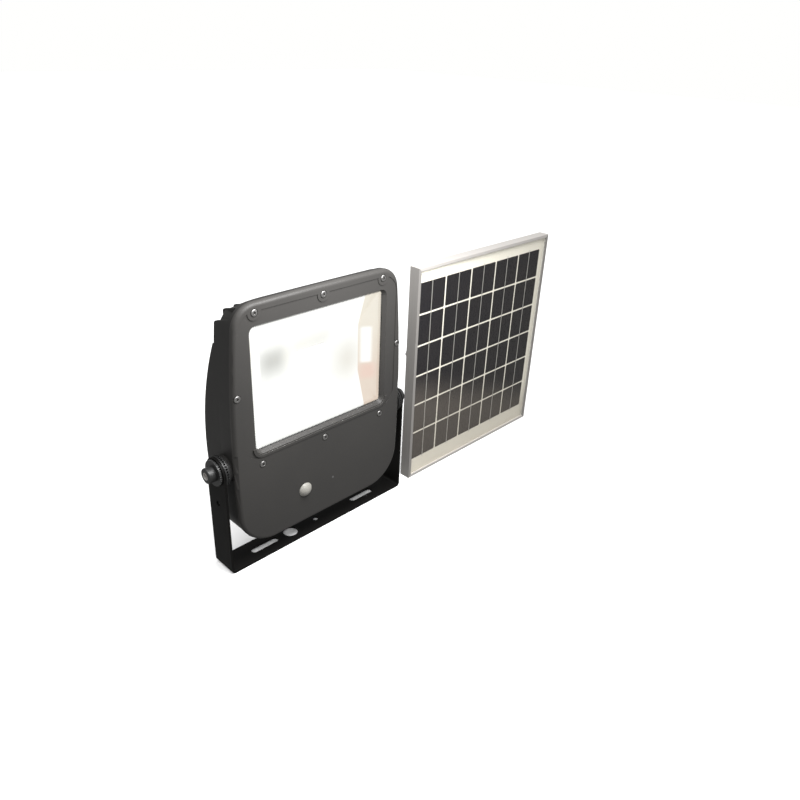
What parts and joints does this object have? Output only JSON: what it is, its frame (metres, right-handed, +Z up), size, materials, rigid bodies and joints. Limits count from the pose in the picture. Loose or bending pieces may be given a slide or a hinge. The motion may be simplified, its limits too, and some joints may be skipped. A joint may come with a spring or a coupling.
{
  "type": "solar flood light",
  "caption": "Flood light with finned housing and motion sensor tilting in a U-bracket, with a separate framed solar panel that has a folding stay.",
  "frame": {"origin": "middle of the U-bracket's base strap, at its underside, on the centre hole's axis", "axes": "+X right along the bracket and the tilt axis, +Y to the back, away from the lit side, +Z up"},
  "size_m": [0.6425, 0.0774, 0.356],
  "materials": {
    "bracket_black": "satin black powder coat on steel",
    "casting_black": "fine-textured black powder coat on die-cast aluminium",
    "bolt_black": "black oxide",
    "disc_black": "black anodised",
    "screw_steel": "bright stainless",
    "lamp_glass": "clear tempered",
    "seal_rubber": "matt silicone",
    "reflector_bright": "bright hammered",
    "led_ceramic": "white ceramic",
    "led_phosphor": "lit phosphor",
    "led_board_white": "white solder mask",
    "pad_grey": "matt",
    "cell_sleeve": "shrink sleeve",
    "tray_plastic": "moulded",
    "strap_steel": "zinc plated",
    "board_green": "solder mask",
    "component_black": "moulded",
    "sensor_metal": "nickel plated",
    "lens_milky": "translucent polyethylene",
    "ring_plastic": "moulded",
    "pipe_clear": "smoked acrylic",
    "gland_black": "moulded nylon",
    "rail_silver": "satin anodised",
    "panel_glass": "low-iron tempered",
    "cell_dark": "anti-reflective silicon",
    "ribbon_silver": "tinned copper",
    "film_clear": "clear film",
    "backsheet_white": "satin film",
    "sealant_grey": "silicone",
    "junction_black": "moulded",
    "stay_zinc": "satin aluminium"
  },
  "bodies": {
    "bracket": {"u_bracket": "bracket_black", "arm_tooth_discs": "disc_black"},
    "lamp": {"lamp_tooth_discs": "disc_black", "pivot_bolts": "bolt_black", "pivot_washers": "disc_black", "front_cover": "casting_black", "cover_screws": "screw_steel", "body_gasket": "seal_rubber", "rear_housing": "casting_black", "cooling_fins": "casting_black", "window_glass": "lamp_glass", "glass_gasket": "seal_rubber", "reflector": "reflector_bright", "reflector_screws": "screw_steel", "led_chip": "led_ceramic", "led_glow": "led_phosphor", "led_board": "led_board_white", "led_screws": "screw_steel", "thermal_pad": "pad_grey", "battery_cells": "cell_sleeve", "battery_trays": "tray_plastic", "battery_straps": "strap_steel", "control_board": "board_green", "board_components": "component_black", "board_screws": "screw_steel", "sensor_can": "sensor_metal", "sensor_lens": "lens_milky", "sensor_ring": "ring_plastic", "indicator_pipe": "pipe_clear", "gland_body": "gland_black", "gland_seal": "seal_rubber", "gland_cap": "gland_black", "gland_nut": "gland_black", "vent_plug": "gland_black"},
    "panel": {"panel_rail_left": "rail_silver", "panel_rail_right": "rail_silver", "panel_rail_top": "rail_silver", "panel_rail_bottom": "rail_silver", "corner_keys": "stay_zinc", "panel_glass": "panel_glass", "solar_cells": "cell_dark", "cell_ribbons": "ribbon_silver", "encapsulant": "film_clear", "backsheet": "backsheet_white", "panel_sealant": "sealant_grey", "junction_box": "junction_black", "junction_lid": "junction_black", "junction_screws": "screw_steel", "junction_gland": "junction_black", "stay_crossbar": "stay_zinc", "crossbar_bolts": "screw_steel", "crossbar_nuts": "screw_steel", "stay_bolt": "screw_steel", "stay_wing_nut": "screw_steel"},
    "stay": {"panel_stay": "stay_zinc"}
  },
  "joints": [
    {"name": "lamp_tilt", "type": "hinge", "parent": "bracket", "child": "lamp", "pos_m": [0, 0, 0.1465], "axis": [1, 0, 0], "range_deg": [-90, 90]},
    {"name": "panel_place", "type": "slide", "parent": "bracket", "child": "panel", "axis": [1, 0, 0], "range_m": [0, 0.6]},
    {"name": "stay_fold", "type": "hinge", "parent": "panel", "child": "stay", "pos_m": [0.32685, 0.0114, 0.205], "axis": [1, 0, 0], "range_deg": [0, 90]}
  ]
}
